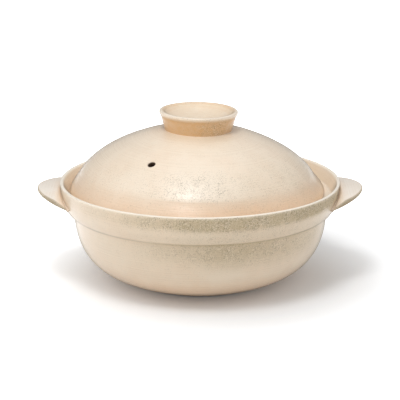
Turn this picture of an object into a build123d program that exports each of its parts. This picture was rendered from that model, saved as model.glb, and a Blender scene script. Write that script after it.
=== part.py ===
from build123d import *
from math import cos, radians, sin, sqrt, tan
import os

# A donabe: a thrown stoneware casserole with two luted ears and a loose domed lid.
# Millimetres, +Z up. The origin is the middle of the pot's resting face, and the ears lie along X.

os.makedirs("parts", exist_ok=True)

# Pot, outside
rim_diameter = 255.0
pot_height = 92.2
foot_diameter = 122.6
foot_round = 3.0
collar_height = 25.3
collar_taper = 6.2
collar_edge_round = 0.8
ridge_depth = 5.3
ridge_drop = 6.4

# Pot, inside
wall_thickness = 7.6
floor_thickness = 9.0
lip_thickness = 3.0
ledge_wall = 8.0
ledge_depth = 12.2
ledge_round = 2.0
gallery_round = 1.5

# Lid, which has its play all round inside the lip
lid_play = 3.0
lid_seat_gap = 0.3
lid_thickness = 6.5
lid_flange_thickness = 7.0
lid_flange_height = 20.2
lid_flange_taper = 10.8
lid_dome_rise = 42.5
lid_edge_height = 2.0

# Steam vent, drilled square to the dome
vent_diameter = 6.6
vent_inset = 28.0
vent_bearing = -121.3

# Knob
knob_rim_diameter = 71.7
knob_rim_width = 4.0
knob_rim_height = 5.4
knob_rim_flare = 1.65
knob_rim_flare_height = 2.6
knob_wall_flare = 3.7
knob_height = 15.2
knob_dish_depth = 8.5

# Ears
ear_reach = 21.8
ear_plan_radius = 53.3
ear_drop = 6.1
ear_edge_thickness = 2.4
ear_arch_fall = 2.735
ear_dip = 1.1
ear_dip_angle = 20.0
ear_underside_angle = 15.5
ear_root_reach = 17.5
ear_root_angle = 42.0
ear_root_depth = 13.0
ear_root_arch_fall = 9.73
ear_overlap = 12.5

# How far cutting and joining shapes run past what they meet
overrun = 12.0

# Roundings of thin edges, as shares of the edge's own thickness or height
lip_round_share = 0.4
lid_edge_round_share = 0.75
knob_rim_round_share = 0.42
ear_edge_round_share = 0.35

# A ring edge is recognised when it lies this share of its rounding from the stated place
match_share = 0.1

# Curve handles: directions in degrees, lengths as shares of the size that the curve spans
bowl_start_angle = 22.0
bowl_start_share = 0.39
bowl_end_angle = 86.0
bowl_end_share = 0.79
ridge_start_angle = 90.0
ridge_end_angle = 22.0
ridge_handle_share = 0.45
collar_start_angle = 50.0
collar_start_share = 0.19
collar_end_share = 0.55
floor_flat_share = 0.85
floor_curve_share = 0.19
inner_end_angle = 87.0
inner_end_share = 0.95
crown_curve_share = 0.36
dome_end_angle = -54.0
dome_end_share = 0.28
flange_start_share = 0.40
flange_end_share = 0.30
dish_rim_angle = 240.0
dish_rim_share = 0.45
dish_floor_share = 0.62

# Places on the pot that follow from the sizes above
rim_radius = rim_diameter / 2
foot_radius = foot_diameter / 2
collar_foot_radius = rim_radius - collar_taper
collar_foot_z = pot_height - collar_height
bowl_radius = collar_foot_radius - ridge_depth
bowl_z = collar_foot_z - ridge_drop
inner_wall_radius = bowl_radius - wall_thickness
lip_inner_radius = rim_radius - lip_thickness
lip_round = lip_thickness * lip_round_share
gallery_radius = rim_radius - ledge_wall
ledge_z = pot_height - ledge_depth

# A loose lid never lies quite central: this one has slid most of its play to the left
lid_slide_share = 0.9
lid_x = -lid_play * lid_slide_share
lid_axis = Axis((lid_x, 0, 0), (0, 0, 1))

# Places on the lid that follow from the pot
lid_radius = gallery_radius - lid_play
lid_inner_radius = lid_radius - lid_flange_thickness
lid_z = ledge_z + lid_seat_gap
lid_edge_round = lid_edge_height * lid_edge_round_share
lid_shoulder_radius = lid_radius - lid_flange_taper
lid_shoulder_z = lid_z + lid_flange_height
lid_crown_z = lid_shoulder_z + lid_dome_rise
vent_distance = lid_shoulder_radius - vent_inset

# Places on the knob and the ears
knob_top_z = lid_crown_z + knob_height
knob_rim_radius = knob_rim_diameter / 2
knob_neck_radius = knob_rim_radius - knob_rim_flare
knob_base_radius = knob_neck_radius - knob_wall_flare
knob_dish_radius = knob_rim_radius - knob_rim_width
knob_rim_round = knob_rim_width * knob_rim_round_share
ear_tip = rim_radius + ear_reach
ear_centre = ear_tip - ear_plan_radius
ear_top_z = pot_height - ear_drop
ear_edge_round = ear_edge_thickness * ear_edge_round_share
ear_half_width = sqrt(ear_reach * (2 * ear_plan_radius - ear_reach))


def point(radius, height, x_shift=0.0):
    """A point of a section, at a radius from an upright axis that stands x_shift along X."""
    return Vector(x_shift + radius, 0, height)


def along(start, angle, distance):
    """The point at a distance from start, in a direction given in degrees from +X in the section."""
    return start + Vector(cos(radians(angle)) * distance, 0, sin(radians(angle)) * distance)


def curve(start, start_angle, start_reach, end, end_angle, end_reach):
    """A cubic that leaves start in one direction and arrives at end in another."""
    leaving = along(start, start_angle, start_reach)
    arriving = along(end, end_angle, -end_reach)
    return Bezier(start, leaving, arriving, end)


def chain(*corners):
    """Straight lines through the given corners, one after the other."""
    return [Line(first, second) for first, second in zip(corners, corners[1:])]


def turned(lines, axis=Axis.Z):
    """The solid that a closed section sweeps round an upright axis."""
    return Solid.revolve(Face(Wire(lines)), 360, axis)


def round_ring(solid, radius, height, size, x_shift=0.0):
    """Rounds the circular edge that stands at one radius and height."""
    centre = Vector(x_shift, 0, height)
    nearness = size * match_share
    rings = [
        edge for edge in solid.edges().filter_by(GeomType.CIRCLE)
        if (edge.arc_center - centre).length < nearness and abs(edge.radius - radius) < nearness
    ]
    return fillet(rings, size)


def pot_outside():
    """The outer line of the pot, from the middle of its foot up to the outer edge of the lip."""
    foot = point(foot_radius, 0)
    bowl_top = point(bowl_radius, bowl_z)
    collar_foot = point(collar_foot_radius, collar_foot_z)
    lip = point(rim_radius, pot_height)
    ridge_handle = (collar_foot - bowl_top).length * ridge_handle_share
    return [
        Line(point(0, 0), foot),
        curve(
            foot, bowl_start_angle, (bowl_radius - foot_radius) * bowl_start_share,
            bowl_top, bowl_end_angle, bowl_z * bowl_end_share,
        ),
        curve(bowl_top, ridge_start_angle, ridge_handle, collar_foot, ridge_end_angle, ridge_handle),
        curve(
            collar_foot, collar_start_angle, collar_height * collar_start_share,
            lip, 90, collar_height * collar_end_share,
        ),
    ]


def pot_inside():
    """The inner line of the pot, from the outer edge of the lip down to the middle of the floor."""
    floor_edge = point(foot_radius * floor_flat_share, floor_thickness)
    wall_foot = point(inner_wall_radius, bowl_z)
    upper = chain(
        point(rim_radius, pot_height), point(lip_inner_radius, pot_height),
        point(gallery_radius, ledge_z), point(inner_wall_radius, ledge_z), wall_foot,
    )
    bowl = curve(
        wall_foot, inner_end_angle - 180, (bowl_z - floor_thickness) * inner_end_share,
        floor_edge, 180, (inner_wall_radius - floor_edge.X) * floor_curve_share,
    )
    return upper + [bowl, Line(floor_edge, point(0, floor_thickness))]


def filled_pot():
    """The pot's outer form as a full block, which the ears are fitted to."""
    lid_side = chain(point(rim_radius, pot_height), point(0, pot_height), point(0, 0))
    block = turned(pot_outside() + lid_side)
    return round_ring(block, collar_foot_radius, collar_foot_z, collar_edge_round)


def make_pot_body():
    """The bowl: flat foot, round belly, proud collar, and the ledge inside the flared lip."""
    middle = Line(point(0, floor_thickness), point(0, 0))
    body = turned(pot_outside() + pot_inside() + [middle])
    body = round_ring(body, collar_foot_radius, collar_foot_z, collar_edge_round)
    body = round_ring(body, foot_radius, 0, foot_round)
    body = round_ring(body, rim_radius, pot_height, lip_round)
    body = round_ring(body, lip_inner_radius, pot_height, lip_round)
    body = round_ring(body, gallery_radius, ledge_z, gallery_round)
    return round_ring(body, inner_wall_radius, ledge_z, ledge_round)


def roll(height, radius, angle, side):
    """A long cylinder along X that touches the ear's tip from one side: -1 is below, 1 is above."""
    line = Location((ear_tip, 0, height), (0, 90 - angle, 0))
    return line * Pos(-side * radius, 0, 0) * Cylinder(radius, 2 * ear_tip)


def ear_block(reach, drop, angle):
    """A long block across the wall. Its underside starts a reach in from the tip and falls inwards."""
    outer_x = ear_tip - reach
    inner_x = rim_radius - ear_overlap
    outer_z = ear_top_z - ear_edge_thickness - drop
    inner_z = outer_z - tan(radians(angle)) * (outer_x - inner_x)
    above_z = ear_top_z + overrun
    section = Face(Wire(chain(
        point(inner_x, inner_z), point(outer_x, outer_z),
        point(outer_x, above_z), point(inner_x, above_z), point(inner_x, inner_z),
    )))
    return Pos(0, -ear_plan_radius, 0) * Solid.extrude(section, Vector(0, 2 * ear_plan_radius, 0))


def arch_radius(fall):
    """The radius of an arch that falls by this much from the ear's middle to its corners at the rim."""
    return (ear_half_width ** 2 + fall ** 2) / (2 * fall)


def make_ear(mirrored):
    """A half-moon ear, thin at its edge, dipping where it meets the wall, and deep at its root."""
    plan = Pos(ear_centre, 0, pot_height / 2) * Cylinder(ear_plan_radius, pot_height)
    root_plan = Pos(ear_centre, 0, pot_height / 2) * Cylinder(ear_plan_radius - ear_edge_thickness, pot_height)
    arch = roll(ear_top_z, arch_radius(ear_arch_fall), 0, -1)
    dip_z = ear_top_z - ear_dip + tan(radians(ear_dip_angle)) * ear_reach
    dip = roll(dip_z, arch_radius(ear_arch_fall), ear_dip_angle, -1)
    cradle = roll(ear_top_z - ear_root_depth, arch_radius(ear_root_arch_fall), 0, 1)
    leaf = plan & arch & ear_block(0, 0, ear_underside_angle)
    root = ear_block(ear_root_reach, tan(radians(ear_underside_angle)) * ear_root_reach, ear_root_angle)

    def on_rim(edge):
        middle = edge.position_at(0.5)
        off_rim = abs((Vector(middle.X, middle.Y) - Vector(ear_centre, 0)).length - ear_plan_radius)
        return off_rim < ear_edge_round * match_share and edge.geom_type != GeomType.LINE

    leaf = fillet([edge for edge in leaf.edges() if on_rim(edge)], ear_edge_round)
    ear = ((leaf + (root_plan & arch & root & cradle)) & dip) - filled_pot()
    if mirrored:
        ear = mirror(ear, Plane.YZ)
    return ear


def lid_outside():
    """The outer line of the lid, from its crown down to the outer corner of its rim."""
    crown = point(0, lid_crown_z, lid_x)
    shoulder = point(lid_shoulder_radius, lid_shoulder_z, lid_x)
    edge_top = point(lid_radius, lid_z + lid_edge_height, lid_x)
    return [
        curve(
            crown, 0, lid_shoulder_radius * crown_curve_share,
            shoulder, dome_end_angle, lid_shoulder_radius * dome_end_share,
        ),
        curve(
            shoulder, dome_end_angle, lid_flange_height * flange_start_share,
            edge_top, -90, lid_flange_height * flange_end_share,
        ),
        Line(edge_top, point(lid_radius, lid_z, lid_x)),
    ]


def lid_inside():
    """The inner line of the lid, from the inner corner of its rim up to the middle of its crown."""
    rim = point(lid_inner_radius, lid_z, lid_x)
    outer_shoulder = point(lid_shoulder_radius, lid_shoulder_z, lid_x)
    shoulder = along(outer_shoulder, dome_end_angle - 90, lid_thickness)
    crown = point(0, lid_crown_z - lid_thickness, lid_x)
    inner_radius = shoulder.X - lid_x
    return [
        curve(
            rim, 90, lid_flange_height * flange_end_share,
            shoulder, dome_end_angle + 180, lid_flange_height * flange_start_share,
        ),
        curve(
            shoulder, dome_end_angle + 180, inner_radius * dome_end_share,
            crown, 180, inner_radius * crown_curve_share,
        ),
    ]


def filled_lid():
    """The lid's outer form as a full block, which the knob is fitted to."""
    base = chain(point(lid_radius, lid_z, lid_x), point(0, lid_z, lid_x), point(0, lid_crown_z, lid_x))
    return turned(lid_outside() + base, lid_axis)


def vent_drill():
    """A drill square to the dome, where the steam vent goes through it."""
    dome_line = lid_outside()[0]
    upright = Line(point(vent_distance, lid_z, lid_x), point(vent_distance, knob_top_z, lid_x))
    mouth = Vector(*dome_line.intersect(upright)[0])
    slope = dome_line.tangent_at(mouth)
    outward = Vector(-slope.Z, 0, slope.X)
    drill = Plane(origin=mouth, z_dir=outward) * Cylinder(vent_diameter / 2, 2 * (lid_thickness + overrun))
    return drill.rotate(lid_axis, vent_bearing)


def make_lid_dome():
    """The lid: a thin dome that steepens to a flange, with one steam vent."""
    rim = Line(point(lid_radius, lid_z, lid_x), point(lid_inner_radius, lid_z, lid_x))
    crown = Line(point(0, lid_crown_z - lid_thickness, lid_x), point(0, lid_crown_z, lid_x))
    lid = turned(lid_outside() + [rim] + lid_inside() + [crown], lid_axis)
    lid = round_ring(lid, lid_radius, lid_z, lid_edge_round, lid_x)
    lid = round_ring(lid, lid_inner_radius, lid_z, lid_edge_round, lid_x)
    return lid - vent_drill()


def make_lid_knob():
    """The ring knob: a flaring wall, a rounded rim and a dished top."""
    neck_z = knob_top_z - knob_rim_height
    flare = knob_wall_flare / (neck_z - lid_crown_z)
    sunk_z = lid_crown_z - overrun
    dish_rim = point(knob_dish_radius, knob_top_z, lid_x)
    dish_floor = point(0, knob_top_z - knob_dish_depth, lid_x)
    middle = point(0, sunk_z, lid_x)
    wall = chain(
        middle, point(knob_base_radius - flare * overrun, sunk_z, lid_x),
        point(knob_neck_radius, neck_z, lid_x),
        point(knob_rim_radius, neck_z + knob_rim_flare_height, lid_x),
        point(knob_rim_radius, knob_top_z, lid_x), dish_rim,
    )
    dish = curve(
        dish_rim, dish_rim_angle, knob_dish_depth * dish_rim_share,
        dish_floor, 180, knob_dish_radius * dish_floor_share,
    )
    knob = turned(wall + [dish, Line(dish_floor, middle)], lid_axis) - filled_lid()
    knob = round_ring(knob, knob_rim_radius, knob_top_z, knob_rim_round, lid_x)
    return round_ring(knob, knob_dish_radius, knob_top_z, knob_rim_round, lid_x)


pieces = {
    "pot_body": make_pot_body(),
    "left_handle": make_ear(mirrored=True),
    "right_handle": make_ear(mirrored=False),
    "lid_dome": make_lid_dome(),
    "lid_knob": make_lid_knob(),
}
for name, piece in pieces.items():
    export_step(piece, f"parts/{name}.step")
    print(name, len(piece.solids()), "solid", round(piece.volume / 1000, 1), "cm3")
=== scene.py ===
import logging
from dataclasses import dataclass, field
from enum import Enum
from math import atan, cos, hypot, pi, radians, sin, tan

import bmesh
import bpy
import numpy as np
from mathutils import Matrix, Vector


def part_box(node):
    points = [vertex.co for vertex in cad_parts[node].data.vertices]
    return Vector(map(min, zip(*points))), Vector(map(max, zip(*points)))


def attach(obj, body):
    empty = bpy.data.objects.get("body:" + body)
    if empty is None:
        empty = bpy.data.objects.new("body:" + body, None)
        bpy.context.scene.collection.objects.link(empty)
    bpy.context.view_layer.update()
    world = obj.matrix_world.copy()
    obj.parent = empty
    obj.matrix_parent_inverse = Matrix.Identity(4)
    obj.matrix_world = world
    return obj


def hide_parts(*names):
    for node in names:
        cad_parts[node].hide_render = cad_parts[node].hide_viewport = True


# A donabe: a thrown stoneware casserole with a loose domed lid, under a satin ash glaze.
# Metres, +Z up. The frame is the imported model, and every piece here stands for one of its nodes.

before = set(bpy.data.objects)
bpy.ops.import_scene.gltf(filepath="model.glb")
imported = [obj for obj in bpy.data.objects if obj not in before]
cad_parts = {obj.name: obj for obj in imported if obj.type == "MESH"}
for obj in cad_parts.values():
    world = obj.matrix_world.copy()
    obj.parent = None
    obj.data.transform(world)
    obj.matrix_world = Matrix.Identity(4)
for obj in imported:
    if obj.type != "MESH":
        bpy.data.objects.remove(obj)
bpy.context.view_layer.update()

log = logging.getLogger("donabe")
Colour = tuple[float, float, float]
# A curve's handle is its direction in degrees from outwards, and its length or a share of a span.
Handle = tuple[float, float]
# A span is where a fade starts and where it is full, or a middle and the reach on either side.
Span = tuple[float, float]
Socket = bpy.types.NodeSocket
LAYERS = ("ash", "blush", "pale", "grain", "bare_and_shade", "run")

# An outline keeps its points nearer where the sine of its turn is past the first of these.
SHARP_TURN = 0.02
SHARP_STEP_SHARE = 0.25


def srgb(red: int, green: int, blue: int) -> Colour:
    """Returns the linear colour of an sRGB triple from 0 to 255."""
    shares = [value / 255 for value in (red, green, blue)]
    return tuple(s / 12.92 if s <= 0.04045 else ((s + 0.055) / 1.055) ** 2.4 for s in shares)


def smooth(low: float, high: float, value: np.ndarray) -> np.ndarray:
    """Returns a smooth step of value, from 0 at low to 1 at high, falling where high is the lower."""
    share = np.clip((value - low) / (high - low), 0, 1)
    return share * share * (3 - 2 * share)


def hump(middle: float, reach: float, value: np.ndarray) -> np.ndarray:
    """Returns a smooth hump of value, 1 at the middle and 0 past its reach on either side."""
    return 1 - smooth(0, reach, np.abs(value - middle))


def bearing_hump(middle: float, reach: float, bearing: np.ndarray) -> np.ndarray:
    """Returns a hump over a compass bearing in degrees, which wraps round at the back."""
    apart = (bearing - middle + 180) % 360 - 180
    return hump(0, reach, apart)


def heading(degrees: float) -> np.ndarray:
    """Returns the unit step in radius and height at an angle from outwards."""
    return np.array((cos(radians(degrees)), sin(radians(degrees))))


def handle(shape: Handle, span: float) -> Handle:
    """Returns a curve's handle, its direction in degrees and its length, from its share of a span."""
    return shape[0], shape[1] * span


class Side(Enum):
    """Which end of the pot an ear is on."""

    LEFT = -1
    RIGHT = 1


class Section:
    """A half section of a thrown form, drawn from point to point in (radius, height)."""

    STROKE_POINTS = 200
    CORNER_POINTS = 41
    FINER = 32
    LEAST_APART = 1e-7

    def __init__(self, start: tuple[float, float]) -> None:
        """Starts the line.

        Args:
            start: The first point's radius and height.
        """
        self.strokes: list[np.ndarray] = []
        self.softness: list[float] = []
        self.pen = np.array(start, float)

    def line(self, radius: float, height: float, soft: float = 0.0) -> "Section":
        """Draws a straight stroke.

        Args:
            radius: The end's radius.
            height: The end's height.
            soft: How far from the end the corner there is rounded.

        Returns:
            The section itself.
        """
        end = np.array((radius, height), float)
        share = np.linspace(0, 1, self.STROKE_POINTS)[:, None]
        return self._add(self.pen + share * (end - self.pen), soft)

    def bend(
        self, leave: tuple[float, float], radius: float, height: float,
        arrive: tuple[float, float], soft: float = 0.0,
    ) -> "Section":
        """Draws a cubic stroke.

        Args:
            leave: The direction at the start in degrees from outwards, and that handle's length.
            radius: The end's radius.
            height: The end's height.
            arrive: The direction at the end, and that handle's length.
            soft: How far from the end the corner there is rounded.

        Returns:
            The section itself.
        """
        end = np.array((radius, height), float)
        first = self.pen + leave[1] * heading(leave[0])
        last = end - arrive[1] * heading(arrive[0])
        t = np.linspace(0, 1, self.STROKE_POINTS)[:, None]
        left = 1 - t
        points = left ** 3 * self.pen + 3 * t * left ** 2 * first + 3 * t ** 2 * left * last + t ** 3 * end
        return self._add(points, soft)

    def _add(self, points: np.ndarray, soft: float) -> "Section":
        """Adds a stroke and moves the pen to its end.

        Args:
            points: The stroke's points.
            soft: How far from the stroke's end the corner there is rounded.

        Returns:
            The section itself.
        """
        self.strokes.append(points)
        self.softness.append(soft)
        self.pen = points[-1]
        return self

    def outline(self, step: float) -> np.ndarray:
        """Joins the strokes with soft corners.

        Args:
            step: The greatest distance between two points.

        Returns:
            The points, as rows of radius and height.
        """
        strokes = [_resampled(stroke, step / self.FINER) for stroke in self.strokes]
        joined = [strokes[0]]
        for soft, following in zip(self.softness, strokes[1:]):
            corner = following[0]
            before = joined[-1]
            before = before[np.hypot(*(before - corner).T) >= soft]
            after = following[np.hypot(*(following - corner).T) >= soft]
            if soft > 0:
                t = np.linspace(0, 1, self.CORNER_POINTS)[1:-1, None]
                arc = (1 - t) ** 2 * before[-1] + 2 * t * (1 - t) * corner + t ** 2 * after[0]
                joined[-1] = before
                joined.append(arc)
            joined.append(after)
        points = np.concatenate(joined)
        apart = np.hypot(*np.diff(points, axis=0).T)
        points = points[np.concatenate(([True], apart > self.LEAST_APART))]
        return _thinned(points, step)


def _resampled(points: np.ndarray, step: float) -> np.ndarray:
    """Spaces a line's points evenly.

    Args:
        points: The line's points.
        step: How far apart they are to lie.

    Returns:
        The new points.
    """
    length = np.concatenate(([0], np.cumsum(np.hypot(*np.diff(points, axis=0).T))))
    count = max(2, int(length[-1] / step) + 1)
    at = np.linspace(0, length[-1], count)
    return np.stack([np.interp(at, length, points[:, axis]) for axis in (0, 1)], axis=1)


def _thinned(points: np.ndarray, step: float) -> np.ndarray:
    """Drops points that lie nearer than a step to the last one kept, except where the line turns.

    Args:
        points: The line's points.
        step: The distance that points are kept at.

    Returns:
        The points that are kept.
    """
    kept = [points[0]]
    for before, here, after in zip(points, points[1:], points[2:]):
        leg, ahead = here - before, after - here
        turn = abs(leg[0] * ahead[1] - leg[1] * ahead[0]) / (hypot(*leg) * hypot(*ahead))
        if np.hypot(*(here - kept[-1])) >= step * (SHARP_STEP_SHARE if turn > SHARP_TURN else 1):
            kept.append(here)
    kept.append(points[-1])
    return np.array(kept)


def joined_rings(rings: int, sides: int) -> list[tuple[int, ...]]:
    """Joins rings of vertices that are numbered one ring after the other.

    Args:
        rings: How many rings there are.
        sides: How many vertices a ring has.

    Returns:
        Each face's vertex numbers.
    """
    pairs = [(side, (side + 1) % sides) for side in range(sides)]
    return [
        (low + here, low + there, low + sides + there, low + sides + here)
        for low in range(0, (rings - 1) * sides, sides) for here, there in pairs
    ]


class ThrownSurface:
    """A turned form: its outline, its mesh, and where each vertex lies on the outline."""

    BATCH = 4096
    TINY = 1e-12

    def __init__(self, name: str, section: Section, centre_x: float, step: float, sides: int) -> None:
        """Spins a section round an upright axis.

        Args:
            name: The piece's name.
            section: The half section, from the axis round to the axis.
            centre_x: Where the upright axis stands along X.
            step: The greatest distance between two rings.
            sides: How many sides a ring has.
        """
        self.centre_x = centre_x
        self.line = section.outline(step)
        self.run = np.concatenate(([0], np.cumsum(np.hypot(*np.diff(self.line, axis=0).T))))
        self.piece = self._spun(name, sides)

    def _spun(self, name: str, sides: int) -> bpy.types.Object:
        """Makes the mesh of rings, closed at the axis by fans.

        Args:
            name: The piece's name.
            sides: How many sides a ring has.

        Returns:
            The new object.
        """
        rings = self.line[1:-1]
        turn = np.arange(sides) * 2 * pi / sides
        x = self.centre_x + rings[:, :1] * np.cos(turn)
        y = rings[:, :1] * np.sin(turn)
        z = np.repeat(rings[:, 1:], sides, axis=1)
        points = np.stack((x, y, z), axis=2).reshape(-1, 3).tolist()
        ends = [(self.centre_x, 0, self.line[0][1]), (self.centre_x, 0, self.line[-1][1])]
        first, last = len(points), len(points) + 1
        faces = joined_rings(len(rings), sides)
        top = (len(rings) - 1) * sides
        faces += [((s + 1) % sides, s, first) for s in range(sides)]
        faces += [(top + s, top + (s + 1) % sides, last) for s in range(sides)]
        mesh = bpy.data.meshes.new(name)
        mesh.from_pydata(points + ends, [], faces)
        mesh.shade_smooth()
        return _placed(name, mesh)

    def places(self) -> "Places":
        """Finds each vertex's bearing, radius and height, and the outline's point nearest to it.

        Returns:
            Where the vertices lie.
        """
        points = vertex_points(self.piece)
        radius = np.hypot(points[:, 0] - self.centre_x, points[:, 1])
        bearing = np.degrees(np.arctan2(points[:, 1], points[:, 0] - self.centre_x))
        nearest = np.zeros(len(points), int)
        for start in range(0, len(points), self.BATCH):
            part = slice(start, start + self.BATCH)
            apart = np.hypot(
                radius[part, None] - self.line[None, :, 0], points[part, 2:] - self.line[None, :, 1],
            )
            nearest[part] = apart.argmin(axis=1)
        return Places(points, bearing, radius, points[:, 2], self.run[nearest], nearest)

    def run_at(self, radius: float, height: float) -> float:
        """Returns the run along the outline of the point nearest to a radius and height."""
        return float(self.run[np.hypot(self.line[:, 0] - radius, self.line[:, 1] - height).argmin()])

    def outward(self, places: "Places") -> np.ndarray:
        """Works out each vertex's direction square to the outline, away from the clay.

        Args:
            places: Where the vertices lie.

        Returns:
            The directions, as rows.
        """
        along = np.gradient(self.line, axis=0)
        along /= np.maximum(np.hypot(*along.T), self.TINY)[:, None]
        normal = np.stack((along[:, 1], -along[:, 0]), axis=1)[places.nearest]
        turn = np.radians(places.bearing)
        return np.stack((normal[:, 0] * np.cos(turn), normal[:, 0] * np.sin(turn), normal[:, 1]), axis=1)

    def moved(self, places: "Places", depth: np.ndarray) -> np.ndarray:
        """Returns the vertices moved outwards, each by its own depth."""
        return places.points + self.outward(places) * depth[:, None]


@dataclass(frozen=True)
class Places:
    """Where the vertices of a thrown surface lie."""

    points: np.ndarray
    bearing: np.ndarray
    radius: np.ndarray
    height: np.ndarray
    run: np.ndarray
    nearest: np.ndarray


class Wander:
    """Slow, seamless unevenness over bearing and run, as a hand leaves in clay."""

    SPREAD = 1.4

    def __init__(self, seed: int, waves: int, per_turn: int, per_metre: float) -> None:
        """Draws the waves.

        Args:
            seed: Which unevenness it is.
            waves: How many waves are added up.
            per_turn: The most waves in one turn.
            per_metre: The most waves in a metre of outline.
        """
        chance = np.random.default_rng(seed)
        self.turns = chance.integers(0, per_turn + 1, waves)
        self.pace = chance.uniform(-per_metre, per_metre, waves) * 2 * pi
        self.start = chance.uniform(0, 2 * pi, waves)

    def at(self, bearing: np.ndarray, run: np.ndarray) -> np.ndarray:
        """Adds up the waves.

        Args:
            bearing: The places' bearings, in degrees.
            run: The places' runs along the outline.

        Returns:
            The unevenness at each place, from about -1 to 1.
        """
        turn = np.radians(bearing)
        waves = [
            np.cos(turns * turn + pace * run + start)
            for turns, pace, start in zip(self.turns, self.pace, self.start)
        ]
        return np.sum(waves, axis=0) / len(waves) ** 0.5 / self.SPREAD


def thrown_depth(seed: int, per_turn: int, per_metre: float, places: Places) -> np.ndarray:
    """Adds a hand's slow sway to the fine marks that the fingers leave all round.

    Args:
        seed: Which unevenness it is. The marks take the next seed.
        per_turn: The most waves of sway in one turn.
        per_metre: The most waves of sway in a metre of outline.
        places: Where the vertices lie.

    Returns:
        How far each vertex lies outwards, from about -2 to 0, in shares of the unevenness.
    """
    sway = Wander(seed, waves=14, per_turn=per_turn, per_metre=per_metre).at(places.bearing, places.run)
    marks = Wander(seed + 1, waves=10, per_turn=1, per_metre=260.0).at(places.bearing * 0, places.run)
    return 0.75 * sway + 0.25 * marks - 1


def vertex_points(piece: bpy.types.Object) -> np.ndarray:
    """Reads where a mesh's vertices are.

    Args:
        piece: The object that has the mesh.

    Returns:
        The positions, as rows.
    """
    points = np.zeros(len(piece.data.vertices) * 3)
    piece.data.vertices.foreach_get("co", points)
    return points.reshape(-1, 3)


def move_vertices(piece: bpy.types.Object, points: np.ndarray) -> None:
    """Puts a mesh's vertices at the given rows."""
    piece.data.vertices.foreach_set("co", points.astype(np.float32).ravel())
    piece.data.update()


def paint(piece: bpy.types.Object, layer: str, values: np.ndarray) -> None:
    """Stores one number for each vertex under a layer name that materials read."""
    attribute = piece.data.attributes.new(layer, "FLOAT", "POINT")
    attribute.data.foreach_set("value", values.astype(np.float32))


def _placed(name: str, mesh: bpy.types.Mesh) -> bpy.types.Object:
    """Links a new object for a mesh, at the origin.

    Args:
        name: The object's name.
        mesh: Its mesh.

    Returns:
        The new object.
    """
    piece = bpy.data.objects.new(name, mesh)
    bpy.context.scene.collection.objects.link(piece)
    return piece


def closed_mesh(name: str, points: list, faces: list, weld: float = 0.0) -> bpy.types.Mesh:
    """Makes a mesh whose faces all look outwards.

    Args:
        name: The mesh's name.
        points: The vertices' places.
        faces: Each face's vertex numbers.
        weld: Vertices that are nearer than this become one.

    Returns:
        The new mesh.
    """
    mesh = bpy.data.meshes.new(name)
    mesh.from_pydata(points, [], faces)
    form = bmesh.new()
    form.from_mesh(mesh)
    if weld > 0:
        bmesh.ops.remove_doubles(form, verts=form.verts, dist=weld)
    bmesh.ops.recalc_face_normals(form, faces=form.faces)
    form.to_mesh(mesh)
    form.free()
    return mesh


def seat(piece: bpy.types.Object, node: str, body: str) -> None:
    """Seats a finished piece on its body, hides the node that it stands for and logs it.

    Args:
        piece: The finished object.
        node: The CAD node that it stands for.
        body: The body that it moves with.
    """
    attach(piece, body)
    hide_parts(node)
    log.info("%s: %d vertices, for %s on %s", piece.name, len(piece.data.vertices), node, body)


class Graph:
    """A node tree that is wired by name."""

    def __init__(self, tree: bpy.types.NodeTree) -> None:
        """Keeps the tree that nodes are added to."""
        self.tree = tree

    def add(self, kind: str, **settings: object) -> bpy.types.Node:
        """Adds a node.

        Args:
            kind: The node's type name.
            settings: The node's properties, set by name.

        Returns:
            The new node.
        """
        node = self.tree.nodes.new(kind)
        for name, value in settings.items():
            setattr(node, name, value)
        return node

    def feed(self, node: bpy.types.Node, **inputs: object) -> bpy.types.Node:
        """Feeds a node's inputs by name, with _ for a space, from sockets or plain values.

        Args:
            node: The node to feed.
            inputs: A socket or a value for each input. A name such as i0 counts the inputs.

        Returns:
            The same node.
        """
        for name, value in inputs.items():
            counted = name[0] == "i" and name[1:].isdigit()
            socket = node.inputs[int(name[1:])] if counted else node.inputs[name.replace("_", " ")]
            if isinstance(value, Socket):
                self.tree.links.new(value, socket)
            else:
                socket.default_value = value
        return node

    def math(self, operation: str, first: object, second: object, clamp: bool = False) -> Socket:
        """Returns the result of one operation on two numbers."""
        node = self.add("ShaderNodeMath", operation=operation, use_clamp=clamp)
        return self.feed(node, i0=first, i1=second).outputs[0]

    def ramp(
        self, value: Socket, low: float, high: float, out_low: float = 0.0, out_high: float = 1.0,
    ) -> Socket:
        """Eases a value from one range to another and holds it there.

        Args:
            value: The value.
            low: Where its range starts, which may be the higher end.
            high: Where its range ends.
            out_low: What the start gives.
            out_high: What the end gives.

        Returns:
            The eased value.
        """
        node = self.add("ShaderNodeMapRange", interpolation_type="SMOOTHSTEP", clamp=True)
        self.feed(node, i0=value, i1=low, i2=high, i3=out_low, i4=out_high)
        return node.outputs[0]

    def mix(self, share: Socket, first: object, second: object) -> Socket:
        """Mixes two colours.

        Args:
            share: How much of the second colour there is, from 0 to 1.
            first: The first colour.
            second: The second colour.

        Returns:
            The mixed colour.
        """
        node = self.add("ShaderNodeMix", data_type="RGBA", blend_type="MIX", clamp_factor=True)
        self.feed(node, i0=share, i6=first, i7=second)
        return node.outputs[2]

    def noise(self, where: Socket, scale: object, detail: float, rough: float) -> Socket:
        """Adds a cloudy noise.

        Args:
            where: The place that it is read at.
            scale: Its waves in a metre.
            detail: How many finer noises are added to it.
            rough: How strong each finer one is.

        Returns:
            The noise, from 0 to 1.
        """
        node = self.add("ShaderNodeTexNoise", noise_dimensions="3D")
        self.feed(node, Vector=where, Scale=scale, Detail=detail, Roughness=rough)
        return node.outputs["Fac"]


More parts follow.
